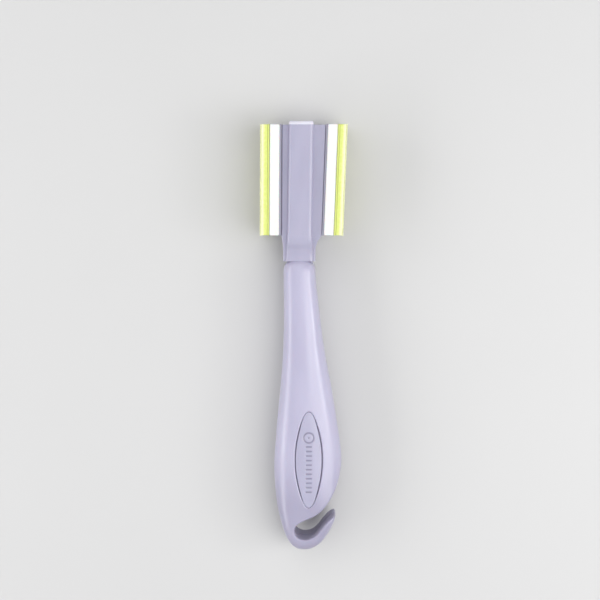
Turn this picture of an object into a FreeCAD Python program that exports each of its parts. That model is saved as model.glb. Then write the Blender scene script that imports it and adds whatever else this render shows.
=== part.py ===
import FreeCAD, Part
import math
import os

# Double-sided paint pad edger, in millimetres.  It lies on its back: +Z is its front,
# +Y points to the head end, and the origin is under the middle of its outline.

V = FreeCAD.Vector

# ---------------------------------------------------------------- driving dimensions
LENGTH = 200.0                 # head end to hook
MID_Z = 11.0                   # parting plane of the handle, and half the head's depth
HEAD_DEPTH = 22.0              # across the front and back ribs

# head
HEAD_END_Y = 98.4              # end of the moulded head, under its end cap
FLANK_FOOT_Y = 48.6            # where the flanks turn in to the neck
FLANK_HALF_Z = 8.6             # half depth of the two flanks
SEAT_LEFT_TOP = -9.75          # face that the left refill stands on, at the head end
SEAT_RIGHT_TOP = 10.1          # the same on the right
LEFT_LEAN = 0.4                # degrees that each seat leans from +Y, towards -X at the foot
RIGHT_LEAN = 2.1
NECK_LEFT = -9.4
NECK_RIGHT = 5.4
NECK_END_Y = 36.8              # where the neck meets the handle's end
NECK_LOW_Y = 37.6              # where the neck has come down to its own depth
NECK_HALF_Z = 5.6
NECK_RIB_HALF_Z = 6.9
SHOULDER_RUN = 7.0             # length of the hollow shoulders under the flanks
FLANK_DROP_Y = 50.5            # where the flanks' front starts to slope down
RIB_DROP_Y = 49.5
RIB_LEFT_TOP = -6.45           # the rib's edges at the head end
RIB_RIGHT_TOP = 4.5
RIB_DRIFT = 0.016              # sideways lean of the rib
RIB_FLARE = 0.065              # widening of each edge down the neck
RIB_EDGE_R = 1.4               # rounding along the rib's long edges
FLANK_EDGE_R = 0.6
CORE_X = (-4.4, 2.2)           # hollow moulded up the middle of the head
CORE_HALF_Z = 6.0
CORE_DEPTH = 44.0
CAP_PLUG = 5.0                 # how far the end cap's plug reaches into that hollow
CAP_FIT = 0.15

# tang, the tongue of the head that the handle closes on
TANG_X = (-6.0, 2.4)
TANG_HALF_Z = 3.6
TANG_END_Y = -3.0
TANG_FIT = 0.15

# refill pads: rail plate, foam, woven backing and pile
PAD_LENGTH = 50.0
PAD_TOP_Y = 98.7
PLATE_T = 0.8                  # the plate shows as a recessed line beside the foam
PLATE_HALF_Z = 9.0
FOAM_T = 4.6
BACKING_T = 0.8
PILE_T = 3.6
PAD_HALF_Z = 10.4
FOAM_CORNER_R = 0.6
RAIL_NECK_HALF_Z = 2.0
RAIL_NECK_T = 1.3
RAIL_HEAD_HALF_Z = 3.6
RAIL_HEAD_T = 1.2
RAIL_SHORT = 0.8               # the rail stops this far inside each end of its plate
RAIL_FIT = 0.2                 # clearance all round the rail in its channel
SEAT_GAP = 0.1                 # between plate and seat
CHANNEL_STOP_Y = 48.9          # blind foot of both channels

# handle
WALL = 2.8
HOLLOW_Y = (-58.0, 29.0)
SECTION_POINTS = 28

# badge, a long oval with blunt ends let into the front
BADGE_CENTRE = (2.5, -55.0)
BADGE_HALF_W = 6.1
BADGE_HALF_L = 22.4
BADGE_SIDE_L = 25.0            # where the two side curves would meet if they ran on
BADGE_SHOULDER_Y = 20.6        # where each blunt end takes over from the sides
BADGE_DEPTH = 1.5
BADGE_GROOVE = 0.35            # open line round the badge

# screws, driven from the back
SCREW_SPOTS = ((-1.9, 24.0), (-1.7, 4.0), (1.6, -24.0), (-6.9, -79.0))
SCREW_R = 1.4
PILOT_R = 1.45
CLEAR_R = 1.7
SCREW_HEAD_R = 2.7
COUNTERBORE_R = 3.0
SCREW_HEAD_T = 2.0
SCREW_SEAT_Z = 5.6             # level that the screw heads pull against
SCREW_TIP_Z = 16.2
BOSS_R = 3.6
DRIVE_R = 1.3
DRIVE_DEPTH = 1.2

# Handle stations from the head end down to the hook: y, left edge, right edge, half depth,
# then how square the left and right halves of the section are: 2 is an ellipse.
STATIONS = (
    (36.8, -8.9, 4.9, 7.6, 2.7, 2.8),
    (36.3, -9.25, 5.25, 8.4, 2.7, 2.8),
    (35.2, -9.4, 5.4, 9.0, 2.7, 2.8),
    (33.0, -9.4, 5.4, 9.2, 2.7, 2.8),
    (29.0, -9.4, 5.5, 9.2, 2.7, 2.8),
    (18.5, -9.3, 6.6, 9.2, 2.7, 2.7),
    (9.0, -9.3, 7.7, 9.2, 2.7, 2.6),
    (-0.5, -9.5, 8.9, 9.4, 2.7, 2.45),
    (-10.0, -9.95, 10.5, 9.7, 2.7, 2.3),
    (-19.5, -10.7, 12.3, 10.1, 2.7, 2.2),
    (-29.0, -11.6, 14.0, 10.5, 2.7, 2.2),
    (-38.5, -12.5, 15.5, 10.8, 2.7, 2.2),
    (-48.0, -13.3, 16.9, 10.95, 2.7, 2.2),
    (-58.0, -13.9, 17.8, 10.9, 2.7, 2.2),
    (-67.0, -13.7, 17.3, 10.6, 2.7, 2.4),
    (-76.0, -12.9, 16.4, 10.1, 2.9, 3.2),
    (-84.0, -11.4, 14.9, 9.5, 3.1, 4.4),
    (-90.0, -9.7, 12.3, 8.8, 3.2, 4.8),
    (-95.0, -7.5, 9.0, 7.9, 3.2, 4.6),
    (-98.2, -4.9, 5.5, 6.1, 3.2, 3.8),
    (-99.6, -2.3, 2.6, 3.7, 3.0, 3.0),
    (-100.0, -0.5, 0.7, 1.2, 2.6, 2.6),
)

# Hanging slot, seen from the front: the handle's edge, then round the blind end and
# back along the inside of the hook to its tip.
SLOT_OUTLINE = (
    (18.9, -54.0),
    (17.75, -60.5),
    (15.5, -68.6),
    (10.9, -76.6),
    (5.2, -82.0),
    (-0.5, -84.7),
    (-3.9, -87.9),
    (-3.5, -92.0),
    (0.7, -93.7),
    (4.9, -92.3),
    (9.0, -87.7),
    (12.8, -83.6),
    (14.6, -82.7),
    (16.2, -83.5),
    (18.5, -87.0),
)


# ---------------------------------------------------------------- helpers
def box(x, y, z):
    """A block between pairs of limits."""
    return Part.makeBox(x[1] - x[0], y[1] - y[0], z[1] - z[0], V(x[0], y[0], z[0]))


def mid(half):
    """Limits in Z that lie evenly about the parting plane."""
    return (MID_Z - half, MID_Z + half)


def cylinder(x, y, r, z):
    return Part.makeCylinder(r, z[1] - z[0], V(x, y, z[0]), V(0, 0, 1))


def prism(edges, z):
    """Solid from a closed outline of edges in the XY plane, between two levels."""
    wire = Part.Wire(edges)
    wire.translate(V(0, 0, z[0]))
    return Part.Face(wire).extrude(V(0, 0, z[1] - z[0]))


def polygon(points):
    """Straight edges through XY points, closed."""
    ring = [V(x, y, 0) for x, y in points]
    return [Part.LineSegment(a, b).toShape() for a, b in zip(ring, ring[1:] + ring[:1])]


def curve(points):
    """One smooth edge through XY points."""
    spline = Part.BSplineCurve()
    spline.interpolate([V(x, y, 0) for x, y in points])
    return spline.toShape()


def ease(start, end):
    """Two tangent arcs that step smoothly from one (y, height) down to another."""
    (y0, h0), (y1, h1) = start, end
    run, drop = y0 - y1, h0 - h1
    radius = (run * run + drop * drop) / (4 * drop)
    half_turn = math.asin(run / (2 * radius)) / 2
    across = radius * math.sin(half_turn)
    sag = radius * (1 - math.cos(half_turn))
    middle = ((y0 + y1) / 2, (h0 + h1) / 2)
    return (start, (y0 - across, h0 - sag), middle), (middle, (y1 + across, h1 + sag), end)


def side_profile(head, drop, low, end):
    """Solid across the whole width: level from head to drop, eased to low, level to end.

    Each is (y, half depth); the back mirrors the front.
    """
    edges = []
    for sign in (1, -1):
        def at(point):
            return V(-30, point[0], MID_Z + sign * point[1])
        edges.append(Part.LineSegment(at(head), at(drop)).toShape())
        for arc in ease(drop, low):
            edges.append(Part.Arc(*[at(p) for p in arc]).toShape())
        edges.append(Part.LineSegment(at(low), at(end)).toShape())
    for y, half in (head, end):
        edges.append(Part.LineSegment(V(-30, y, MID_Z - half), V(-30, y, MID_Z + half)).toShape())
    wire = Part.Wire(Part.__sortEdges__(edges))
    return Part.Face(wire).extrude(V(60, 0, 0))


def long_edges(shape, run):
    """Edges that go at least run along the tool, on its front or its back."""
    found = []
    for edge in shape.Edges:
        ends = [v.Point for v in edge.Vertexes]
        if len(ends) == 2 and abs(ends[0].y - ends[1].y) > run:
            found.append(edge)
    return found


def write(name, shape):
    """Write one node, with all its solids, to its STEP file."""
    clean = shape.removeSplitter()
    solids = clean.Solids
    result = solids[0] if len(solids) == 1 else Part.makeCompound(solids)
    if not result.isValid():
        raise ValueError(name + " is not a valid shape")
    result.exportStep("parts/" + name + ".step")
    print(name, len(solids), "solid(s)", round(result.Volume / 1000, 3), "cm3")


# ---------------------------------------------------------------- head
def seat_x(side, y):
    """X of the face that a refill stands on: side -1 is left, +1 is right."""
    if side < 0:
        return SEAT_LEFT_TOP - (HEAD_END_Y - y) * math.tan(math.radians(LEFT_LEAN))
    return SEAT_RIGHT_TOP - (HEAD_END_Y - y) * math.tan(math.radians(RIGHT_LEAN))


def head_flanks():
    """The two flanks and the neck between them, with the neck's hollow shoulders."""
    neck_top = FLANK_FOOT_Y - SHOULDER_RUN
    foot_left, foot_right = ((seat_x(side, FLANK_FOOT_Y), FLANK_FOOT_Y) for side in (-1, 1))
    top_left, top_right = ((seat_x(side, HEAD_END_Y), HEAD_END_Y) for side in (-1, 1))
    left = [foot_left, (NECK_LEFT - 0.2, neck_top + SHOULDER_RUN / 2), (NECK_LEFT, neck_top)]
    right = [(NECK_RIGHT, neck_top), (NECK_RIGHT + 0.7, neck_top + SHOULDER_RUN / 2), foot_right]
    lines = (
        (foot_right, top_right),
        (top_right, top_left),
        (top_left, foot_left),
        (left[-1], (NECK_LEFT, NECK_END_Y)),
        ((NECK_LEFT, NECK_END_Y), (NECK_RIGHT, NECK_END_Y)),
        ((NECK_RIGHT, NECK_END_Y), right[0]),
    )
    edges = [Part.LineSegment(V(*a, 0), V(*b, 0)).toShape() for a, b in lines]
    slab = prism(Part.__sortEdges__(edges + [curve(left), curve(right)]), (0, HEAD_DEPTH))
    return slab.common(side_profile(
        (HEAD_END_Y, FLANK_HALF_Z), (FLANK_DROP_Y, FLANK_HALF_Z),
        (NECK_LOW_Y, NECK_HALF_Z), (NECK_END_Y, NECK_HALF_Z)))


def rib_outline(y):
    """Left and right edges of the rib, which drifts and widens a little towards the neck."""
    drift = (HEAD_END_Y - y) * RIB_DRIFT
    flare = max(0.0, (FLANK_DROP_Y - y) * RIB_FLARE)
    return RIB_LEFT_TOP - drift - flare, RIB_RIGHT_TOP - drift + flare


def rib():
    """The raised rib, front and back, from the head end down over the neck."""
    stations = (HEAD_END_Y, FLANK_DROP_Y, NECK_END_Y)
    left = [(rib_outline(y)[0], y) for y in stations]
    right = [(rib_outline(y)[1], y) for y in reversed(stations)]
    slab = prism(polygon(left + right), (0, HEAD_DEPTH))
    return slab.common(side_profile(
        (HEAD_END_Y, HEAD_DEPTH / 2), (RIB_DROP_Y, HEAD_DEPTH / 2),
        (NECK_LOW_Y, NECK_RIB_HALF_Z), (NECK_END_Y, NECK_RIB_HALF_Z)))


def rail(side, y0, y1, grow):
    """T-shaped rail that leans with its seat; grow is added on each working face."""
    neck = RAIL_NECK_T + SEAT_GAP
    tee = neck + RAIL_HEAD_T
    steps = ((-SEAT_GAP, neck, RAIL_NECK_HALF_Z), (neck - grow, tee + grow, RAIL_HEAD_HALF_Z))
    solids = []
    for near, far, half in steps:
        ring = [(seat_x(side, y) - side * d, y) for y, d in ((y0, near), (y1, near), (y1, far), (y0, far))]
        solids.append(prism(polygon(ring), mid(half + grow)))
    return solids[0].fuse(solids[1])


def channel(side):
    """The T slot that a refill's rail slides in, open at the head end."""
    return rail(side, CHANNEL_STOP_Y, LENGTH, RAIL_FIT)


def head_frame():
    ribs = rib()
    ribs = ribs.makeFillet(RIB_EDGE_R, long_edges(ribs, 1.0))
    flanks = head_flanks()
    flanks = flanks.makeFillet(FLANK_EDGE_R, long_edges(flanks, 1.0))
    body = ribs.fuse(flanks)
    tang = box(TANG_X, (TANG_END_Y, NECK_END_Y + 4), mid(TANG_HALF_Z))
    body = body.fuse(tang)
    core = box(CORE_X, (HEAD_END_Y - CORE_DEPTH, LENGTH), mid(CORE_HALF_Z))
    body = body.cut(core)
    for side in (-1, 1):
        body = body.cut(channel(side))
    for x, y in SCREW_SPOTS[:2]:
        body = body.cut(cylinder(x, y, CLEAR_R, (0, HEAD_DEPTH)))
    return body


def spine_end_cap():
    """Rounded cap that closes the cored rib, with a plug that fits the hollow."""
    left, right = rib_outline(HEAD_END_Y)
    top = box((left, right), (HEAD_END_Y, LENGTH / 2), (0, HEAD_DEPTH))
    outer = [e for e in top.Edges if min(v.Point.y for v in e.Vertexes) > HEAD_END_Y + 1]
    top = top.makeFillet(1.0, outer)
    plug_x = (CORE_X[0] + CAP_FIT, CORE_X[1] - CAP_FIT)
    plug = box(plug_x, (HEAD_END_Y - CAP_PLUG, HEAD_END_Y), mid(CORE_HALF_Z - CAP_FIT))
    return top.fuse(plug)


# ---------------------------------------------------------------- refill pads
def pad_layer(side, near, far, half_z, corner):
    """A slab of a refill between two distances out from its seat."""
    foot = PAD_TOP_Y - PAD_LENGTH
    ring = []
    for y, d in ((foot, near), (PAD_TOP_Y, near), (PAD_TOP_Y, far), (foot, far)):
        ring.append((seat_x(side, y) + side * d, y))
    slab = prism(polygon(ring), mid(half_z))
    if corner:
        ends = [e for e in slab.Edges if abs(e.Vertexes[0].Point.z - e.Vertexes[-1].Point.z) < 0.01]
        across = [e for e in ends if e.Length < far - near + 0.5]
        slab = slab.makeFillet(corner, across)
    return slab


def refill(side):
    """Name and solid of each layer of one refill."""
    plate_out = SEAT_GAP + PLATE_T
    foam_out = plate_out + FOAM_T
    backing_out = foam_out + BACKING_T
    plate = pad_layer(side, SEAT_GAP, plate_out, PLATE_HALF_Z, 0)
    runner = rail(side, PAD_TOP_Y - PAD_LENGTH + RAIL_SHORT, PAD_TOP_Y - RAIL_SHORT, 0.0)
    return {
        "pad_rail_plate": plate.fuse(runner),
        "pad_foam": pad_layer(side, plate_out, foam_out, PAD_HALF_Z, FOAM_CORNER_R),
        "pad_backing": pad_layer(side, foam_out, backing_out, PAD_HALF_Z, 0),
        "pad_pile": pad_layer(side, backing_out, backing_out + PILE_T, PAD_HALF_Z, FOAM_CORNER_R),
    }


# ---------------------------------------------------------------- handle
def section(y, left, right, half, left_square, right_square):
    """Closed smooth outline across the handle at one station."""
    a = (right - left) / 2
    centre = (right + left) / 2
    ring = []
    for i in range(SECTION_POINTS):
        turn = 2 * math.pi * (i + 0.5) / SECTION_POINTS
        c, s = math.cos(turn), math.sin(turn)
        power = 2 / (left_square if c < 0 else right_square)
        x = centre + a * math.copysign(abs(c) ** power, c)
        z = MID_Z + half * math.copysign(abs(s) ** power, s)
        ring.append(V(x, y, z))
    spline = Part.BSplineCurve()
    spline.interpolate(ring, PeriodicFlag=True)
    return Part.Wire(spline.toShape())


def handle_form(inset, low=-LENGTH, high=LENGTH):
    """The handle's whole form, drawn in by inset on every side, between two stations."""
    wires = []
    for y, left, right, half, *square in STATIONS:
        if low <= y <= high:
            wires.append(section(y, left + inset, right - inset, half - inset, *square))
    return Part.makeLoft(wires, True, False)


def badge_outline(grow):
    """Two long side arcs, with a flatter arc across each blunt end."""
    x, y = BADGE_CENTRE
    w, end = BADGE_HALF_W + grow, BADGE_HALF_L + grow
    shoulder = BADGE_SHOULDER_Y + grow
    radius = (BADGE_HALF_W ** 2 + BADGE_SIDE_L ** 2) / (2 * BADGE_HALF_W) + grow
    narrow = w - radius + math.sqrt(radius ** 2 - shoulder ** 2)
    sides = []
    for sign in (1, -1):
        head, foot = V(x + sign * narrow, y + shoulder, 0), V(x + sign * narrow, y - shoulder, 0)
        across = V(x - sign * narrow, y - sign * shoulder, 0)
        sides.append(Part.Arc(head, V(x + sign * w, y, 0), foot).toShape())
        start = foot if sign > 0 else head
        sides.append(Part.Arc(start, V(x, y - sign * end, 0), across).toShape())
    return Part.__sortEdges__(sides)


def slot():
    edge = curve(SLOT_OUTLINE)
    first, last = SLOT_OUTLINE[0], SLOT_OUTLINE[-1]
    outside = [(last[0] + 6, last[1]), (first[0] + 6, first[1])]
    corners = [last] + outside + [first]
    closing = [
        Part.LineSegment(V(*a, 0), V(*b, 0)).toShape() for a, b in zip(corners, corners[1:])
    ]
    return prism([edge] + closing, (-5, HEAD_DEPTH + 5))


def bosses(inner):
    """Screw posts from each shell's floor to the tang or to the parting plane."""
    posts = []
    for i, (x, y) in enumerate(SCREW_SPOTS):
        post = cylinder(x, y, BOSS_R, (0, HEAD_DEPTH)).common(inner)
        if i < 2:
            post = post.cut(box((-20, 20), (-40, 40), mid(TANG_HALF_Z + TANG_FIT)))
        posts.append(post)
    return posts


def screws():
    """Round-headed screws with a plain recess, driven from the back."""
    made = []
    for x, y in SCREW_SPOTS:
        shank = cylinder(x, y, SCREW_R, (SCREW_SEAT_Z, SCREW_TIP_Z))
        head = cylinder(x, y, SCREW_HEAD_R, (SCREW_SEAT_Z - SCREW_HEAD_T, SCREW_SEAT_Z))
        head = head.makeFillet(0.5, [head.Edges[2]])
        level = SCREW_SEAT_Z - SCREW_HEAD_T
        cross = box((x - DRIVE_R, x + DRIVE_R), (y - 0.3, y + 0.3), (level, level + DRIVE_DEPTH))
        cross = cross.fuse(box((x - 0.3, x + 0.3), (y - DRIVE_R, y + DRIVE_R), (level, level + DRIVE_DEPTH)))
        made.append(shank.fuse(head).cut(cross))
    return Part.makeCompound(made)


def handle():
    """Front shell, back shell and badge, from one form split at the parting plane."""
    form = handle_form(0.0)
    inner = handle_form(WALL, HOLLOW_Y[0], HOLLOW_Y[1])
    cavity = inner
    for post in bosses(inner):
        cavity = cavity.cut(post)
    body = form.cut(cavity).cut(slot())
    mouth_x = (TANG_X[0] - TANG_FIT, TANG_X[1] + TANG_FIT)
    body = body.cut(box(mouth_x, (HOLLOW_Y[1] - 8, 40), mid(TANG_HALF_Z + TANG_FIT)))
    skin = form.cut(handle_form(BADGE_DEPTH))
    recess = prism(badge_outline(BADGE_GROOVE), (MID_Z, HEAD_DEPTH + 5)).common(skin)
    badge = prism(badge_outline(0.0), (MID_Z, HEAD_DEPTH + 5)).common(skin)
    front = body.common(box((-40, 40), (-110, 50), (MID_Z, 40))).cut(recess)
    back = body.common(box((-40, 40), (-110, 50), (-20, MID_Z)))
    for x, y in SCREW_SPOTS:
        front = front.cut(cylinder(x, y, PILOT_R, (MID_Z, SCREW_TIP_Z)))
        back = back.cut(cylinder(x, y, CLEAR_R, (-5, MID_Z)))
        back = back.cut(cylinder(x, y, COUNTERBORE_R, (-5, SCREW_SEAT_Z)))
    return front, back, badge


# ---------------------------------------------------------------- build
def main():
    os.makedirs("parts", exist_ok=True)
    write("head_frame", head_frame())
    write("spine_end_cap", spine_end_cap())
    front, back, badge = handle()
    write("handle_front_shell", front)
    write("handle_back_shell", back)
    write("badge_plate", badge)
    write("handle_screws", screws())
    for side, name in ((-1, "left"), (1, "right")):
        for layer, shape in refill(side).items():
            write(name + "_" + layer, shape)


main()
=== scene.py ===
# %% [markdown]
# # A double-sided paint pad edger
# This tool paints a clean line beside a window bead or a door frame.  Its head carries a
# foam-backed nap pad on each side, and a teardrop handle ends in an open hook.
# The working parts are already designed, so we start from that fixed frame and build only
# what gives the tool its looks: moulded plastic, white foam and a yellow pile.

import bpy
import numpy as np
from mathutils import Matrix, Vector, noise


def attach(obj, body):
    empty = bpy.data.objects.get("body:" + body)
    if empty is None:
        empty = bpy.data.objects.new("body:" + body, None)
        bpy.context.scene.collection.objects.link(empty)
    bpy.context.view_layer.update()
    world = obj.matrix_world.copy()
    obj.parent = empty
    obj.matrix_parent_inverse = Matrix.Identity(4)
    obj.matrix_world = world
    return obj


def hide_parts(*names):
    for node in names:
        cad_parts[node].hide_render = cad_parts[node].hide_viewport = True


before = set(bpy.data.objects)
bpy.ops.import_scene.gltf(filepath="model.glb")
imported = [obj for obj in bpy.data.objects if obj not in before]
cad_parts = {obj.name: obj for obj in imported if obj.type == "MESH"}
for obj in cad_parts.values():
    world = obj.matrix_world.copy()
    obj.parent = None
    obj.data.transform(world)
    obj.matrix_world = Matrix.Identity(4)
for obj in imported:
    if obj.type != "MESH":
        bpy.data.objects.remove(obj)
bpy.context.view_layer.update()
MM = 0.001

# %% [markdown]
# ## The camera
# The tool lies on its back and is seen from above, from a little towards the head and
# from the right.  A long lens half a metre away keeps the outline nearly true, and the
# small tilt lets the inner wall of the hook show.  A lens shift would frame the tool just
# as well, but it would push it off centre in every other view.

# %% Camera
CAMERA_PLACE = Vector((9.8, 69.2, 504.4)) * MM
CAMERA_TARGET = Vector((-1.8, 18.4, 11.0)) * MM
CAMERA_LENS = 64.08


def make_camera():
    camera = bpy.data.objects.new("camera", bpy.data.cameras.new("camera"))
    bpy.context.scene.collection.objects.link(camera)
    forward = (CAMERA_TARGET - CAMERA_PLACE).normalized()
    up = (Vector((0, 1, 0)) - forward * forward.y).normalized()
    right = forward.cross(up)
    turn = Matrix((right, up, -forward)).transposed().to_4x4()
    camera.matrix_world = Matrix.Translation(CAMERA_PLACE) @ turn
    camera.data.lens = CAMERA_LENS
    camera.data.clip_start = 0.01
    bpy.context.scene.camera = camera


make_camera()
print("the camera is", round((CAMERA_TARGET - CAMERA_PLACE).length, 3), "m from the tool")

# %% [markdown]
# ## Floor and light
# Satin plastic shows its form through what it reflects.  A long, low softbox lies on the
# left, and the squarer left shoulder of the handle turns its reflection into a thin line.
# On the right a broader one hangs higher, and the rounder right shoulder spreads it into a
# band.  A third stands beyond the head and only a weak one beyond the hook, so surfaces that
# tilt toward the hook and the slot's inner wall stay darker.

# %% Floor
FLOOR_HALF = 2.0
FLOOR_GREY = (0.595, 0.59, 0.585)


def make_floor():
    mesh = bpy.data.meshes.new("floor")
    signs = ((-1, -1), (1, -1), (1, 1), (-1, 1))
    mesh.from_pydata([(FLOOR_HALF * x, FLOOR_HALF * y, 0) for x, y in signs], [], [(0, 1, 2, 3)])
    floor = bpy.data.objects.new("floor", mesh)
    bpy.context.scene.collection.objects.link(floor)
    return floor


floor = make_floor()
print("floor side:", 2 * FLOOR_HALF, "m")


# %% Softboxes
def softbox(name, place, size, power):
    """A rectangular lamp at a place in metres that faces the tool's middle."""
    lamp = bpy.data.lights.new(name, "AREA")
    lamp.shape = "RECTANGLE"
    lamp.size, lamp.size_y = size
    lamp.energy = power
    box = bpy.data.objects.new(name, lamp)
    bpy.context.scene.collection.objects.link(box)
    box.location = place
    aim = Vector((0, 0, 0.01)) - Vector(place)
    box.rotation_mode = "QUATERNION"
    box.rotation_quaternion = aim.to_track_quat("-Z", "Y")


softbox("light_left", (-0.62, -0.05, 0.30), (1.0, 0.24), 3.0)
softbox("light_right", (0.50, -0.08, 0.60), (0.60, 0.95), 4.9)
softbox("light_right_low", (0.50, 0.00, 0.28), (0.12, 0.10), 0.3)
softbox("light_hook_end", (0.00, -0.80, 0.62), (0.6, 0.4), 0.5)
softbox("light_head_end", (-0.25, 0.80, 0.85), (0.9, 0.9), 3.0)

world = bpy.data.worlds.new("studio")
bpy.context.scene.world = world
world.use_nodes = True
world.node_tree.nodes["Background"].inputs["Color"].default_value = (0.95, 0.97, 1.0, 1)
world.node_tree.nodes["Background"].inputs["Strength"].default_value = 0.48
bpy.context.scene.view_settings.view_transform = "Standard"

# %% [markdown]
# ## Writing materials
# Every finish starts from one Principled shader.  Numbers that are the same all over go
# straight into its sockets, and only what varies over the surface gets nodes.  These
# helpers keep each recipe short: `add` makes a node and fills its sockets, and a socket
# can be given either a number or the output of another node.

# %% Material helpers
def start_material(name, **sockets):
    """A material and its Principled shader, with plain values on the named sockets."""
    material = bpy.data.materials.new(name)
    material.use_nodes = True
    shader = material.node_tree.nodes["Principled BSDF"]
    for socket, value in sockets.items():
        shader.inputs[socket.replace("_", " ")].default_value = value
    return material, shader


def connect(material, source, shader, socket):
    material.node_tree.links.new(source, shader.inputs[socket])


def add(material, kind, settings=None, **inputs):
    """A new node; each input is a plain value or another node's output."""
    node = material.node_tree.nodes.new("ShaderNode" + kind)
    for key, value in (settings or {}).items():
        setattr(node, key, value)
    for socket, value in inputs.items():
        target = node.inputs[socket.replace("_", " ")]
        if isinstance(value, bpy.types.NodeSocket):
            material.node_tree.links.new(value, target)
        else:
            target.default_value = value
    return node


def place(material, stretch=(1, 1, 1)):
    """The surface's own coordinates in millimetres, stretched along each axis."""
    coordinates = add(material, "TexCoord").outputs["Object"]
    scale = [s / MM for s in stretch]
    return add(material, "Mapping", Vector=coordinates, Scale=scale).outputs["Vector"]


def cloud(material, vector, size, detail=2.0, roughness=0.5):
    """Soft noise from 0 to 1 whose blotches are about size millimetres."""
    node = add(material, "TexNoise", Vector=vector, Scale=1 / size, Detail=detail, Roughness=roughness)
    return node.outputs["Fac"]


def spread(material, value, low, high, source=(0.3, 0.7)):
    """Maps a 0 to 1 pattern onto the range from low to high, easing in and out."""
    node = add(material, "MapRange", {"interpolation_type": "SMOOTHSTEP"}, Value=value,
               From_Min=source[0], From_Max=source[1], To_Min=low, To_Max=high)
    return node.outputs["Result"]


def between(material, factor, first, second, mode="MIX"):
    """Mixes two colours by a factor."""
    node = add(material, "MixRGB", {"blend_type": mode}, Fac=factor)
    for socket, value in (("Color1", first), ("Color2", second)):
        if isinstance(value, bpy.types.NodeSocket):
            material.node_tree.links.new(value, node.inputs[socket])
        else:
            node.inputs[socket].default_value = (*value, 1)
    return node.outputs["Color"]


def relief(material, shader, *layers):
    """Stacks bumps on the shader, each a (height pattern, depth in millimetres) pair."""
    normal = None
    for height, depth in layers:
        node = add(material, "Bump", Height=height, Distance=depth * MM, Strength=1.0)
        if normal:
            material.node_tree.links.new(normal, node.inputs["Normal"])
        normal = node.outputs["Normal"]
    connect(material, normal, shader, "Normal")


# %% [markdown]
# ## The floor's finish
# A matt studio card: nearly white, with a paper grain far too fine to draw the eye.

# %% Floor material
def studio_card():
    material, shader = start_material("studio_card", Roughness=0.85, Specular_IOR_Level=0.2)
    where = place(material)
    tone = between(material, cloud(material, where, 60.0), FLOOR_GREY, [c * 0.985 for c in FLOOR_GREY])
    connect(material, tone, shader, "Base Color")
    relief(material, shader, (cloud(material, where, 0.5, 4.0), 0.02))
    return material


floor.data.materials.append(studio_card())
print("floor material:", floor.data.materials[0].name)

# %% [markdown]
# ## Lavender plastic
# Both mouldings are the same coloured polypropylene.  Three things keep it from looking
# like paint: faint clouding where the melt flowed, a spark-eroded grain from the mould, and
# a roughness that drifts where hands have polished it.  The handle is satin, and the head
# is a little duller and greyer.  The handle's colour is also painted darker from the lower
# grip to the hook end, a painted shade for surfaces there that tilt away from the lamps.
#
# No plastic's roughness goes below 0.30.  In test renders, a roughness that drifted from 0.26
# to 0.37 left thin false lines on the handle, and one from 0.30 to 0.41 left none.

# %% Plastic material
HOOK_END_SHADE = (0.78, 0.77, 0.79)


def moulded_plastic(name, light, dark, gloss, grain, shade_y=None):
    """Coloured plastic. gloss is about its mean roughness and grain the grain's depth in mm.

    The last argument gives where a painted shade towards the hook end begins and where it is full, in mm
    along the tool.
    """
    material, shader = start_material(name, Specular_IOR_Level=0.65, Coat_Weight=0.35, Coat_Roughness=0.30,
                                      Subsurface_Weight=0.06, Subsurface_Scale=0.0015)
    where = place(material)
    flow = cloud(material, place(material, (1, 0.25, 1)), 9.0, 3.0)
    tone = between(material, spread(material, flow, 0, 1), light, dark)
    specks = spread(material, cloud(material, where, 0.35, 1.0), 0, 0.35, (0.62, 0.75))
    tone = between(material, specks, tone, [c * 0.8 for c in dark])
    # Painted shade: the colour darkens from the lower grip towards the hook end.
    if shade_y:
        y = add(material, "SeparateXYZ", Vector=where).outputs["Y"]
        hook_shade_share = spread(material, y, 0, 1, shade_y)
        tone = between(material, hook_shade_share, tone, HOOK_END_SHADE, "MULTIPLY")
    connect(material, tone, shader, "Base Color")
    polish = spread(material, cloud(material, where, 14.0, 2.0), gloss - 0.05, gloss + 0.06)
    connect(material, polish, shader, "Roughness")
    scuffs = cloud(material, place(material, (6, 0.35, 6)), 1.6, 2.0, 0.7)
    relief(material, shader,
           (cloud(material, where, 0.22, 2.0), grain),
           (spread(material, scuffs, 0, 1, (0.66, 0.74)), 0.006),
           (cloud(material, where, 5.0, 1.0), 0.03))
    return material


# The handle's painted shade runs from y -54 mm to -80 mm, towards the hook end.
handle_plastic = moulded_plastic("lavender_satin", (0.456, 0.434, 0.570), (0.424, 0.403, 0.537), 0.35, 0.005,
                                 (-54.0, -80.0))
head_plastic = moulded_plastic("lavender_head", (0.396, 0.380, 0.500), (0.368, 0.353, 0.470), 0.36, 0.007)
# The cap's paler colour is a painted highlight for the bright band at the head's end.
cap_highlight_plastic = moulded_plastic("lavender_pale_highlight", (0.66, 0.645, 0.725), (0.62, 0.605, 0.685), 0.45, 0.007)
print("plastics:", handle_plastic.name, head_plastic.name, cap_highlight_plastic.name)

# %% [markdown]
# ## Turning numbers into meshes
# Most pieces here are arrays of points that a formula moves about, so one function turns
# points in millimetres into a smooth-shaded Blender mesh in metres and hangs it on its body.

# %% Mesh helper
def piece(name, points, faces, material, body, nodes):
    """A mesh piece from points in mm that rides on a body and stands for CAD nodes."""
    mesh = bpy.data.meshes.new(name)
    mesh.from_pydata((np.asarray(points) * MM).tolist(), [], [list(map(int, f)) for f in faces])
    mesh.polygons.foreach_set("use_smooth", [True] * len(mesh.polygons))
    mesh.materials.append(material)
    made = bpy.data.objects.new(name, mesh)
    bpy.context.scene.collection.objects.link(made)
    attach(made, body)
    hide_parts(*nodes)
    print(name, "has", len(mesh.vertices), "points and", len(mesh.polygons), "faces")
    return made


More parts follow.
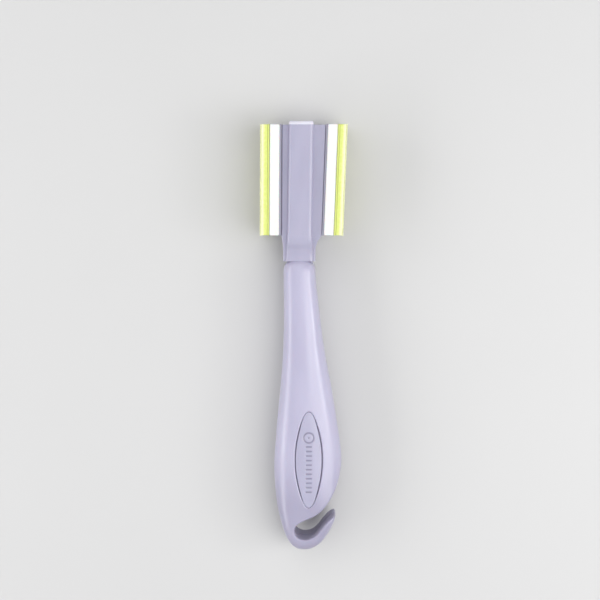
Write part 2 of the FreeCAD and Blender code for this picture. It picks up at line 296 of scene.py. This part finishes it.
# %% [markdown]
# ## The handle's form
# A moulded grip has no flat sides, so boxes and cylinders can't make it.  We describe it as
# a field: a formula that gives, for any point, roughly how far it lies outside the skin.
# At each station along the tool the section is a squircle, squarer on the left than on the
# right, and a smooth curve joins the stations.  Near the rounded hook end the width
# grows like a square root, so the curve runs over the square root of the distance.

# %% Handle stations
MID_Z = 11.0
HANDLE_END_Y = 37.9
STATIONS = np.array((
    # y, left edge, right edge, half depth, squareness of the left half and of the right
    (-100.0, 0.0, 0.1, 0.2, 2.6, 2.6),
    (-99.6, -2.3, 2.6, 3.7, 3.0, 3.0),
    (-98.2, -4.9, 5.5, 6.1, 3.2, 3.8),
    (-95.0, -7.5, 9.0, 7.9, 3.2, 4.6),
    (-90.0, -9.7, 12.3, 8.8, 3.2, 4.8),
    (-84.0, -11.4, 14.9, 9.5, 3.1, 4.4),
    (-76.0, -12.9, 16.4, 10.1, 2.9, 3.2),
    (-67.0, -13.7, 17.3, 10.6, 2.7, 2.4),
    (-58.0, -13.9, 17.8, 10.9, 2.7, 2.2),
    (-48.0, -13.3, 16.9, 10.95, 2.7, 2.2),
    (-38.5, -12.5, 15.5, 10.8, 2.7, 2.2),
    (-29.0, -11.6, 14.0, 10.5, 2.7, 2.2),
    (-19.5, -10.7, 12.3, 10.1, 2.7, 2.2),
    (-10.0, -9.95, 10.5, 9.7, 2.7, 2.3),
    (-0.5, -9.5, 8.9, 9.4, 2.7, 2.45),
    (9.0, -9.3, 7.7, 9.2, 2.7, 2.6),
    (18.5, -9.3, 6.6, 9.2, 2.7, 2.7),
    (29.0, -9.4, 5.5, 9.2, 2.7, 2.8),
    (38.0, -9.4, 5.4, 9.2, 2.7, 2.8),
))


def natural_spline(knots, values):
    """A curve with even bends through every knot, as a function of the knot's parameter."""
    gaps = np.diff(knots)
    n = len(knots)
    left = np.eye(n)
    right = np.zeros_like(values)
    for i in range(1, n - 1):
        left[i, i - 1:i + 2] = gaps[i - 1], 2 * (gaps[i - 1] + gaps[i]), gaps[i]
        rise = (values[i + 1] - values[i]) / gaps[i] - (values[i] - values[i - 1]) / gaps[i - 1]
        right[i] = 6 * rise
    bend = np.linalg.solve(left, right)

    def at(t):
        t = np.clip(t, knots[0], knots[-1])
        i = np.clip(np.searchsorted(knots, t) - 1, 0, n - 2)
        gap = gaps[i][:, None]
        a = (knots[i + 1] - t)[:, None] / gap
        b = 1 - a
        curve = a * values[i] + b * values[i + 1]
        return curve + ((a**3 - a) * bend[i] + (b**3 - b) * bend[i + 1]) * gap**2 / 6
    return at


FOOT_Y = STATIONS[0, 0]
along_handle = natural_spline(np.sqrt(STATIONS[:, 0] - FOOT_Y), STATIONS[:, 1:])


def handle_form(p):
    """Roughly the distance in mm from the handle's outer skin, negative inside."""
    x, y, z = p.T
    left, right, half, *square = along_handle(np.sqrt(np.maximum(y - FOOT_Y, 0))).T
    wide = np.maximum((right - left) / 2, 0.05)
    half = np.maximum(half, 0.05)
    u = (x - (left + right) / 2) / wide
    w = (z - MID_Z) / half
    power = np.where(u < 0, *square)
    ring = (np.abs(u)**power + np.abs(w)**power)**(1 / power)
    safe = np.maximum(ring, 1e-3)
    slope_x = (np.abs(u) / safe)**(power - 1) / wide
    slope_z = (np.abs(w) / safe)**(power - 1) / half
    return np.maximum((ring - 1) / np.hypot(slope_x, slope_z), FOOT_Y - y)


print("handle is", STATIONS[8, 2] - STATIONS[8, 1], "mm wide at its widest station")

# %% [markdown]
# ## Cutting with fields
# Two fields combine like clay and a knife.  The larger of two values keeps what both
# contain, and a minus sign turns a shape into a hole.  If the larger value is taken with a
# small blend, every cut gets a rounded edge for free, which is how a real mould is made.
# The hanging slot is an outline drawn by a few points with a smooth curve through them.

# %% Field tools
def keep(a, b, round_off=0.0):
    """Where both shapes are, with the edge between them rounded over about round_off mm."""
    if not round_off:
        return np.maximum(a, b)
    near = np.maximum(round_off - np.abs(a - b), 0) / round_off
    return np.maximum(a, b) + near * near * round_off / 4


def outline_distance(x, y, ring):
    """Distance to a closed outline in the XY plane, negative inside it."""
    best = np.full(len(x), np.inf)
    inside = np.zeros(len(x), bool)
    for (ax, ay), (bx, by) in zip(ring, np.roll(ring, -1, axis=0)):
        ex, ey = bx - ax, by - ay
        t = np.clip(((x - ax) * ex + (y - ay) * ey) / (ex * ex + ey * ey), 0, 1)
        best = np.minimum(best, (x - ax - t * ex)**2 + (y - ay - t * ey)**2)
        if ay != by:
            inside ^= ((ay > y) != (by > y)) & (x < ax + (y - ay) * ex / ey)
    return np.where(inside, -1, 1) * np.sqrt(best)


SLOT_OUTLINE = np.array((
    (18.9, -54.0), (17.75, -60.5), (15.5, -68.6), (10.9, -76.6), (5.2, -82.0), (-0.5, -84.7),
    (-3.9, -87.9), (-3.5, -92.0), (0.7, -93.7), (4.9, -92.3), (9.0, -87.7), (12.8, -83.6),
    (14.6, -82.7), (16.2, -83.5), (18.5, -87.0)))
SLOT_TOP_Y = -50.0
OUTSIDE_X = 30.0
FAR_AWAY = 20.0


def slot_ring():
    """The slot's outline as many short sides, closed outside the handle."""
    lengths = np.linalg.norm(np.diff(SLOT_OUTLINE, axis=0), axis=1)
    knots = np.concatenate(([0], np.cumsum(lengths)))
    curve = natural_spline(knots, SLOT_OUTLINE)(np.linspace(0, knots[-1], 110))
    return np.vstack((curve, [(OUTSIDE_X, curve[-1, 1]), (OUTSIDE_X, curve[0, 1])]))


SLOT_RING = slot_ring()


def hanging_slot(p):
    """Distance outside the slot; far above it a plain large value saves the work."""
    low = p[:, 1] < SLOT_TOP_Y
    away = np.full(len(p), FAR_AWAY)
    away[low] = outline_distance(p[low, 0], p[low, 1], SLOT_RING)
    return away


def post(p, x, y, radius):
    """Distance outside an upright round post."""
    return np.hypot(p[:, 0] - x, p[:, 1] - y) - radius


print("slot outline has", len(SLOT_RING), "sides")

# %% [markdown]
# ## The two shells
# The handle is two hollow shells that close on the head's tang and are screwed together
# from the back.  Both come from one formula, so they meet exactly: the form, drawn in for
# the hollow, with posts for the screws, a mouth for the tang, the slot, and on the front a
# shallow pocket for the badge.  The rounded end reaches about 1 mm into the head's neck, so
# no dark gap shows between them.

# %% Shell formula
WALL = 2.8
HOLLOW_LOW_Y, HOLLOW_HIGH_Y = -58.0, 29.0
END_ROUND = 6.5
SLOT_ROUND = 1.1
SEAM_ROUND = 0.45
TANG_MIDDLE_X, TANG_HALF_X, TANG_HALF_Z = -1.8, 4.35, 3.75
SCREW_SPOTS = ((-1.9, 24.0), (-1.7, 4.0), (1.6, -24.0), (-6.9, -79.0))
TANG_SCREWS = 2
BOSS_R, PILOT_R, CLEAR_R, COUNTERBORE_R = 3.6, 1.45, 1.7, 3.0
SCREW_SEAT_Z, SCREW_TIP_Z = 5.6, 16.2
BADGE_X, BADGE_Y = 2.5, -55.0
BADGE_HALF_W, BADGE_HALF_L, BADGE_SIDE_L = 6.1, 22.4, 25.0
BADGE_DEPTH, BADGE_GROOVE, BADGE_PLAY = 1.5, 0.35, 0.08


def badge_outline(x, y, grow=0.0):
    """Distance outside the badge: two long side curves, rounded off at both ends."""
    radius = (BADGE_HALF_W**2 + BADGE_SIDE_L**2) / (2 * BADGE_HALF_W)
    dx, dy = np.abs(x - BADGE_X), np.abs(y - BADGE_Y)
    side = np.hypot(dx + radius - BADGE_HALF_W, dy) - radius
    end = dy - BADGE_HALF_L + 0.3 * dx * dx
    return keep(side, end, 1.2) - grow


def shell_body(p, form):
    """The skin and hollow that both shells share."""
    x, y, z = p.T
    body = keep(form, y - HANDLE_END_Y, END_ROUND)
    body = keep(body, -hanging_slot(p), SLOT_ROUND)
    hollow = np.maximum(form + WALL, np.maximum(y - HOLLOW_HIGH_Y, HOLLOW_LOW_Y - y))
    tang = np.maximum(np.abs(x - TANG_MIDDLE_X) - TANG_HALF_X, np.abs(z - MID_Z) - TANG_HALF_Z)
    for i, (sx, sy) in enumerate(SCREW_SPOTS):
        boss = post(p, sx, sy, BOSS_R)
        if i < TANG_SCREWS:
            boss = np.maximum(boss, TANG_HALF_Z - np.abs(z - MID_Z))
        hollow = np.maximum(hollow, -boss)
    mouth = np.maximum(tang, HOLLOW_HIGH_Y - 8 - y)
    return np.maximum(np.maximum(body, -hollow), -mouth)


def front_shell(p):
    """Distance outside the front half, with its badge pocket and screw pilots."""
    form = handle_form(p)
    body = keep(shell_body(p, form), MID_Z - p[:, 2], SEAM_ROUND)
    pocket = np.maximum(badge_outline(p[:, 0], p[:, 1], BADGE_GROOVE), -(form + BADGE_DEPTH))
    body = keep(body, -np.maximum(pocket, MID_Z - p[:, 2]), SEAM_ROUND)
    for x, y in SCREW_SPOTS:
        body = np.maximum(body, -np.maximum(post(p, x, y, PILOT_R), p[:, 2] - SCREW_TIP_Z))
    return body


def back_shell(p):
    """Distance outside the back half, with its screw holes and counterbores."""
    body = keep(shell_body(p, handle_form(p)), p[:, 2] - MID_Z, SEAM_ROUND)
    for x, y in SCREW_SPOTS:
        body = np.maximum(body, -post(p, x, y, CLEAR_R))
        sink = np.maximum(post(p, x, y, COUNTERBORE_R), p[:, 2] - SCREW_SEAT_Z)
        body = keep(body, -sink, SEAM_ROUND)
    return body


# %% [markdown]
# ## From field to mesh
# The field is sampled on a grid of small cells.  Wherever its sign changes between two
# grid points, the skin crosses that edge; each cell takes the mean of its crossings as its
# point, and every crossed edge joins the four cells round it with one quad.  Last, a few
# Newton steps slide each point onto the true skin, so reflections run clean and the grid
# can't be seen.  A voxel remesh would be less code, but it leaves ripples in the gloss.

# %% Skin of a field
def skin(field, low, high, step):
    """Points in mm and quads over the zero level of a field."""
    low = np.array(low, float)
    count = np.ceil((np.array(high) - low) / step).astype(int) + 1
    lattice = np.stack(np.meshgrid(*[np.arange(n) for n in count], indexing="ij"), -1)
    value = field(lattice.reshape(-1, 3) * step + low).reshape(count)
    total, hits = np.zeros((*count, 3)), np.zeros(count)
    crossed = []
    for axis in range(3):
        near = np.moveaxis(value, axis, 0)[:-1]
        far = np.moveaxis(value, axis, 0)[1:]
        spots = np.argwhere((near < 0) != (far < 0))
        share = near[tuple(spots.T)] / (near[tuple(spots.T)] - far[tuple(spots.T)])
        inward = near[tuple(spots.T)] < 0
        order = {0: (0, 1, 2), 1: (1, 0, 2), 2: (1, 2, 0)}[axis]
        cell = spots[:, order]
        point = cell.astype(float)
        point[:, axis] += share
        u, v = (axis + 1) % 3, (axis + 2) % 3
        ring = []
        for du, dv in ((0, 0), (-1, 0), (-1, -1), (0, -1)):
            beside = cell.copy()
            beside[:, u] += du
            beside[:, v] += dv
            np.add.at(total, tuple(beside.T), point)
            np.add.at(hits, tuple(beside.T), 1)
            ring.append(np.ravel_multi_index(tuple(beside.T), tuple(count)))
        quads = np.stack(ring, 1)
        crossed.append(np.where(inward[:, None], quads, quads[:, ::-1]))
    used = hits.ravel() > 0
    number = np.cumsum(used) - 1
    points = low + step * total.reshape(-1, 3)[used] / hits.ravel()[used, None]
    return settle(field, points, step), number[np.vstack(crossed)]


def settle(field, points, step, rounds=3, probe=0.02):
    """Slides points along the field's slope onto its zero level."""
    start = points.copy()
    for _ in range(rounds):
        slope = np.empty_like(points)
        for axis in range(3):
            nudge = np.zeros(3)
            nudge[axis] = probe
            slope[:, axis] = (field(points + nudge) - field(points - nudge)) / (2 * probe)
        steep = np.maximum((slope**2).sum(1), 0.05)
        points = points - slope * (field(points) / steep)[:, None]
        points = start + np.clip(points - start, -step, step)
    return points


# %% Make the shells
SHELL_STEP = 0.45
PAST_SEAM = 0.7
SHELL_LOW = (-15.0, -101.0, -0.9)
SHELL_HIGH = (19.0, 38.9, 22.9)


def make_shell(name, field, low_z, high_z, node):
    points, quads = skin(field, (*SHELL_LOW[:2], low_z), (*SHELL_HIGH[:2], high_z), SHELL_STEP)
    return piece(name, points, quads, handle_plastic, "tool", [node])


front = make_shell("handle_front", front_shell, MID_Z - PAST_SEAM, SHELL_HIGH[2], "handle_front_shell")
back = make_shell("handle_back", back_shell, SHELL_LOW[2], MID_Z + PAST_SEAM, "handle_back_shell")

# %% [markdown]
# ## The badge
# A thin plate is let into the front and follows its curve, so it comes from the same
# field.  Its face carries a plain pattern: a ring, and a column of short grooves below it.
# Towards both ends the plate fills its pocket, so the line round it fades out there.

# %% Badge
BADGE_STEP = 0.22
RING_Y, RING_R = -44.4, 2.3
BARS_Y = np.arange(-48.6, -70.5, -2.15)
BAR_HALF, MARK_R, MARK_DEPTH = 1.05, 0.42, 0.32
MARK_COLOUR = (0.20, 0.19, 0.27)
GROOVE_FADES_FROM, GROOVE_FADES_OVER = 14.0, 7.0
BADGE_LOW = (BADGE_X - 7, BADGE_Y - 23.5, 17.0)
BADGE_HIGH = (BADGE_X + 7, BADGE_Y + 23.5, 22.6)


def badge_marks(x, y):
    """How strongly a mark is pressed in at each point, from 0 to 1."""
    ring = np.abs(np.hypot(x - BADGE_X, y - RING_Y) - RING_R)
    ring = np.minimum(ring, np.hypot(x - BADGE_X, y - RING_Y))
    across = np.maximum(np.abs(x - BADGE_X) - BAR_HALF, 0)
    bars = np.hypot(across, np.abs(y[:, None] - BARS_Y).min(1))
    away = np.minimum(ring, bars)
    return np.clip(1.4 - away / MARK_R, 0, 1)


def badge_field(p):
    """Distance outside the badge plate, with its marks pressed in."""
    x, y, z = p.T
    form = handle_form(p)
    close = np.clip((np.abs(y - BADGE_Y) - GROOVE_FADES_FROM) / GROOVE_FADES_OVER, 0, 1)
    rim = badge_outline(x, y, (BADGE_GROOVE + 0.04) * close - 0.1)
    face = keep(form + MARK_DEPTH * badge_marks(x, y), rim, 0.5)
    return np.maximum(face, -(form + BADGE_DEPTH - BADGE_PLAY))


def badge_plastic():
    """The handle's plastic, darker where the marks are pressed in."""
    material = moulded_plastic("lavender_badge", (0.402, 0.386, 0.512), (0.378, 0.364, 0.484), 0.36, 0.006)
    socket = material.node_tree.nodes["Principled BSDF"].inputs["Base Color"]
    plain = socket.links[0].from_socket
    mark = add(material, "Attribute", {"attribute_name": "mark"}).outputs["Fac"]
    shade = spread(material, mark, 0, 0.75, (0.1, 0.9))
    material.node_tree.links.new(between(material, shade, plain, MARK_COLOUR), socket)
    return material


points, quads = skin(badge_field, BADGE_LOW, BADGE_HIGH, BADGE_STEP)
badge = piece("badge", points, quads, badge_plastic(), "tool", ["badge_plate"])
marks = badge.data.attributes.new("mark", "FLOAT", "POINT")
marks.data.foreach_set("value", badge_marks(points[:, 0], points[:, 1]).astype(np.float32))

# %% [markdown]
# ## Where a refill's layers lie
# Each refill is a stack of layers that stands on the head's side: rail plate, foam, woven
# backing and pile.  A point in a pad is given by its distance out from the seat, its place
# along the tool and its height, and one function turns that into the shared frame.

# %% Pad layout
PAD_FOOT_Y, PAD_TOP_Y = 48.7, 98.7
PAD_LOW_Z, PAD_HIGH_Z = 0.6, 21.4
SEAT_Y = 98.4
SEAT_TOP_X = {-1: -9.75, 1: 10.1}
SEAT_LEAN = {-1: 0.4, 1: 2.1}
FOAM_NEAR, BACKING_NEAR, PILE_NEAR, PILE_FAR = 0.9, 5.5, 6.3, 9.9
SIDES = {-1: "left", 1: "right"}


def on_pad(side, local):
    """Points given as (out, y, z) on one side of the head, as (x, y, z) in mm."""
    out, y, z = local.T
    seat = SEAT_TOP_X[side] - (SEAT_Y - y) * np.tan(np.radians(SEAT_LEAN[side]))
    return np.stack((seat + side * out, y, z), 1)


def block(size, step, radius):
    """Points and quads over a block of a size in mm, with every edge rounded."""
    size = np.array(size)
    count = np.maximum(np.round(size / step).astype(int), 2)
    codes = []
    for axis in range(3):
        u, v = (axis + 1) % 3, (axis + 2) % 3
        iu, iv = np.meshgrid(np.arange(count[u]), np.arange(count[v]), indexing="ij")
        for end in (0, count[axis]):
            ring = []
            for du, dv in ((0, 0), (1, 0), (1, 1), (0, 1)):
                spot = np.empty((iu.size, 3), int)
                spot[:, axis], spot[:, u], spot[:, v] = end, (iu + du).ravel(), (iv + dv).ravel()
                ring.append(np.ravel_multi_index(spot.T, count + 1))
            quads = np.stack(ring, 1)
            codes.append(quads if end else quads[:, ::-1])
    used, faces = np.unique(np.vstack(codes), return_inverse=True)
    points = np.stack(np.unravel_index(used, count + 1), 1) / count * size
    inner = np.clip(points, radius, size - radius)
    off = points - inner
    length = np.linalg.norm(off, axis=1, keepdims=True)
    return inner + off / length * radius, faces.reshape(-1, 4)


def outward(faces, side):
    """The right pad is a mirror of the left, so its faces turn the other way."""
    return faces if side > 0 else faces[:, ::-1]


print("a pad is", PAD_TOP_Y - PAD_FOOT_Y, "mm long and", round(PILE_FAR - FOAM_NEAR, 1), "mm thick")

# %% [markdown]
# ## Foam
# Foam is cut, not moulded, so its faces are flat but never quite straight: they are pushed
# in and out a little by soft noise.  Its open cells are too small to model, so they are
# pits in the material, in two sizes, and light that leaks through them softens the shading.
# The larger pits are also painted darker, a painted shade in their hollows.
# Blender's noise vectors start from the clock unless they are given a seed, so one is set
# first, and every run gives the same foam.

# %% Foam
FOAM_STEP = 0.4
FOAM_INSET = 0.06
FOAM_SEED = 3


def open_foam():
    material, shader = start_material("white_foam", Roughness=0.9, Specular_IOR_Level=0.1,
                                      Subsurface_Weight=0.35, Subsurface_Scale=0.001)
    where = place(material)
    cells = add(material, "TexVoronoi", Vector=where, Scale=2.6, Randomness=1.0).outputs["Distance"]
    small = add(material, "TexVoronoi", Vector=where, Scale=5.5, Randomness=1.0).outputs["Distance"]
    pit_shade = spread(material, cells, 1, 0, (0.08, 0.3))
    tone = between(material, cloud(material, where, 7.0, 3.0), (0.90, 0.90, 0.88), (0.86, 0.86, 0.83))
    # Painted shade: the colour darkens in the cells' pits.
    tone = between(material, spread(material, pit_shade, 0, 0.30, (0, 1)), tone, (0.70, 0.70, 0.68))
    connect(material, tone, shader, "Base Color")
    relief(material, shader, (cells, 0.18), (small, 0.08))
    return material


def foam_pad(side, material):
    size = (BACKING_NEAR - FOAM_NEAR, PAD_TOP_Y - PAD_FOOT_Y, PAD_HIGH_Z - PAD_LOW_Z)
    local, faces = block([s - 2 * FOAM_INSET for s in size], FOAM_STEP, 0.7)
    local += np.array((FOAM_NEAR, PAD_FOOT_Y, PAD_LOW_Z)) + FOAM_INSET
    for point in local:
        wave = noise.noise_vector(Vector(point) * 0.16 + Vector((side * 40, 0, 0)))
        fine = noise.noise_vector(Vector(point) * 0.9)
        shift = np.array(wave) * (0.0, 0.16, 0.16) + np.array(fine) * (0.0, 0.05, 0.05)
        point += np.clip(shift, -0.2, 0.2)
    name = SIDES[side] + "_foam"
    foam = piece(name, on_pad(side, local), outward(faces, side), material,
                 SIDES[side] + "_refill", [SIDES[side] + "_pad_foam"])
    return foam


noise.seed_set(FOAM_SEED)
foam_material = open_foam()
foams = {side: foam_pad(side, foam_material) for side in SIDES}

# %% [markdown]
# ## The nap: backing and pile
# The nap is a woven cloth with a short dense pile, like velvet.  The cloth is a thin sheet
# stretched over the foam.  The pile is thousands of tapered fibres that stand out from a
# felt base and splay a little at the edges.  Their colour is painted vivid and darker at the
# root and pale at the tip, a painted shade among the crowded roots.  One list of random
# numbers with a fixed seed drives them, so every run gives the same brush.

# %% Nap materials
ROOT_COLOUR = (0.66, 0.73, 0.20)
TIP_COLOUR = (0.95, 0.96, 0.58)


def woven_cloth():
    material, shader = start_material("woven_backing", Roughness=0.8, Sheen_Weight=0.3)
    where = place(material)
    warp = add(material, "TexWave", {"bands_direction": "Y"}, Vector=where, Scale=0.55, Distortion=0.3)
    weft = add(material, "TexWave", {"bands_direction": "Z"}, Vector=where, Scale=0.55, Distortion=0.3)
    weave = add(material, "Math", {"operation": "MAXIMUM"})
    for i, wave in enumerate((warp, weft)):
        material.node_tree.links.new(wave.outputs["Fac"], weave.inputs[i])
    raised = spread(material, weave.outputs[0], 0, 1, (0.3, 1))
    # Painted shade: the weave's low parts between the raised threads are darker.
    tone = between(material, raised, [c * 0.75 for c in ROOT_COLOUR], ROOT_COLOUR)
    tone = between(material, cloud(material, where, 4.0), tone, [c * 0.94 for c in ROOT_COLOUR])
    connect(material, tone, shader, "Base Color")
    relief(material, shader, (weave.outputs[0], 0.12))
    return material


def nap_fibres():
    """Pile whose colour follows the tone stored on its points: 0 at the root, 1 at the tip."""
    material, shader = start_material("nap_pile", Roughness=0.7, Specular_IOR_Level=0.2,
                                      Sheen_Weight=0.4, Sheen_Roughness=0.5)
    tone = add(material, "Attribute", {"attribute_name": "tone"}).outputs["Fac"]
    where = place(material)
    dirt = spread(material, cloud(material, where, 1.2, 3.0), -0.12, 0.12)
    shade = add(material, "Math", {"operation": "ADD", "use_clamp": True})
    material.node_tree.links.new(tone, shade.inputs[0])
    material.node_tree.links.new(dirt, shade.inputs[1])
    # Painted shade: the colour runs from the darker root colour to the pale tip colour.
    colour = between(material, shade.outputs[0], ROOT_COLOUR, TIP_COLOUR)
    connect(material, colour, shader, "Base Color")
    relief(material, shader, (cloud(material, place(material, (0.3, 3, 3)), 0.3, 2.0), 0.03))
    return material


cloth_material, pile_material = woven_cloth(), nap_fibres()
print("nap materials:", cloth_material.name, pile_material.name)

# %% Backing and pile
FELT_T = 2.7
FIBRE_GAP = 0.28
FIBRE_R = 0.115
FIBRE_SIDES = 3
PALE_FROM, PALE_OVER = PILE_NEAR + 1.2, 1.2


def backing_cloth(side):
    size = (PILE_NEAR - BACKING_NEAR, PAD_TOP_Y - PAD_FOOT_Y - 0.1, PAD_HIGH_Z - PAD_LOW_Z - 0.1)
    local, faces = block(size, 0.4, 0.15)
    local += (BACKING_NEAR, PAD_FOOT_Y + 0.05, PAD_LOW_Z + 0.05)
    return piece(SIDES[side] + "_backing", on_pad(side, local), outward(faces, side), cloth_material,
                 SIDES[side] + "_refill", [SIDES[side] + "_pad_backing"])


def fibres(random):
    """Tapered fibres as (out, y, z) points and their faces."""
    ys = np.arange(PAD_FOOT_Y + 0.25, PAD_TOP_Y - 0.2, FIBRE_GAP)
    zs = np.arange(PAD_LOW_Z + 0.25, PAD_HIGH_Z - 0.2, FIBRE_GAP)
    root = np.stack(np.meshgrid(ys, zs, indexing="ij"), -1).reshape(-1, 2)
    root += random.uniform(-0.1, 0.1, root.shape)
    many = len(root)
    middle = ((PAD_FOOT_Y + PAD_TOP_Y) / 2, (PAD_LOW_Z + PAD_HIGH_Z) / 2)
    reach = np.array((PAD_TOP_Y - PAD_FOOT_Y, PAD_HIGH_Z - PAD_LOW_Z)) / 2
    edge = np.clip((root - middle) / reach, -1, 1)
    splay = np.sign(edge) * np.abs(edge)**14 * 0.25
    lean = random.normal(0, 0.11, (many, 2)) + splay
    height = PILE_FAR - PILE_NEAR - 0.12 - np.abs(random.normal(0, 0.12, many))
    spin = random.uniform(0, 2 * np.pi, many)
    points = []
    for share, width, bend in ((0.62, 1.0, 0.0), (0.85, 0.9, 0.4), (1.0, 0.4, 1.0)):
        for k in range(FIBRE_SIDES):
            turn = spin + 2 * np.pi * k / FIBRE_SIDES
            ring = np.stack((np.cos(turn), np.sin(turn)), 1) * FIBRE_R * width
            points.append(np.column_stack((PILE_NEAR + height * share, root + lean * bend + ring)))
    points = np.stack(points, 1).reshape(-1, 3)
    per = 3 * FIBRE_SIDES
    pattern = []
    for level in (0, FIBRE_SIDES):
        for k in range(FIBRE_SIDES):
            a, b = level + k, level + (k + 1) % FIBRE_SIDES
            pattern.append((a, b, b + FIBRE_SIDES, a + FIBRE_SIDES))
    faces = (np.arange(many)[:, None, None] * per + np.array(pattern)).reshape(-1, 4)
    return points, faces


def pile(side, random):
    base, base_faces = block((FELT_T, PAD_TOP_Y - PAD_FOOT_Y - 0.3, PAD_HIGH_Z - PAD_LOW_Z - 0.3), 0.4, 0.2)
    base += (PILE_NEAR, PAD_FOOT_Y + 0.15, PAD_LOW_Z + 0.15)
    hairs, hair_faces = fibres(random)
    local = np.vstack((base, hairs))
    faces = np.vstack((base_faces, hair_faces + len(base)))
    made = piece(SIDES[side] + "_pile", on_pad(side, local), outward(faces, side), pile_material,
                 SIDES[side] + "_refill", [SIDES[side] + "_pad_pile"])
    tone = made.data.attributes.new("tone", "FLOAT", "POINT")
    # The tone stored on the points places the painted shade: 0 at the root, 1 towards the tip.
    paler = np.clip((local[:, 0] - PALE_FROM) / PALE_OVER, 0, 1)
    tone.data.foreach_set("value", paler.astype(np.float32))
    return made


random = np.random.default_rng(7)
for side in SIDES:
    cloth, hair = backing_cloth(side), pile(side, random)

# %% [markdown]
# ## Finishes for the designed parts
# The head, its end cap, the rail plates and the screws keep their designed shape, and only
# get a material.  Zinc-plated screws are bright metal with faint turning rings, and the
# rail plates are a darker, duller plastic, a painted shade for the shadow gap beside the
# foam, where they only show as a line.
# The cap is a small separate moulding, so its edges get a round of their own; its paler
# colour is a painted highlight for the bright band at the head's end.

# %% Materials on the frame's own parts
CAP_ROUND = 0.6
CAP_SHARP_ANGLE = 0.6


def zinc():
    material, shader = start_material("zinc_plate", Metallic=1.0)
    where = place(material)
    tone = between(material, cloud(material, where, 1.5, 3.0), (0.62, 0.62, 0.65), (0.50, 0.50, 0.54))
    connect(material, tone, shader, "Base Color")
    connect(material, spread(material, cloud(material, where, 0.6, 2.0), 0.24, 0.42), shader, "Roughness")
    relief(material, shader, (cloud(material, place(material, (1, 6, 1)), 0.3, 2.0), 0.01))
    return material


# The rail plates' dark grey is a painted shade for the shadow gap beside the foam.
plate_shade_plastic = moulded_plastic("rail_painted_shade", (0.34, 0.33, 0.41), (0.31, 0.30, 0.38), 0.5, 0.012)
FINISHES = {
    "head_frame": head_plastic,
    "spine_end_cap": cap_highlight_plastic,
    "left_pad_rail_plate": plate_shade_plastic,
    "right_pad_rail_plate": plate_shade_plastic,
    "handle_screws": zinc(),
}
for name, material in FINISHES.items():
    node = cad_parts[name]
    node.data.materials.clear()
    node.data.materials.append(material)
    print(name, "is", material.name)

cap_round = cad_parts["spine_end_cap"].modifiers.new("rounded_edges", "BEVEL")
cap_round.width, cap_round.segments = CAP_ROUND * MM, 4
cap_round.limit_method, cap_round.angle_limit = "ANGLE", CAP_SHARP_ANGLE
print("the cap's edges are rounded over", CAP_ROUND, "mm")
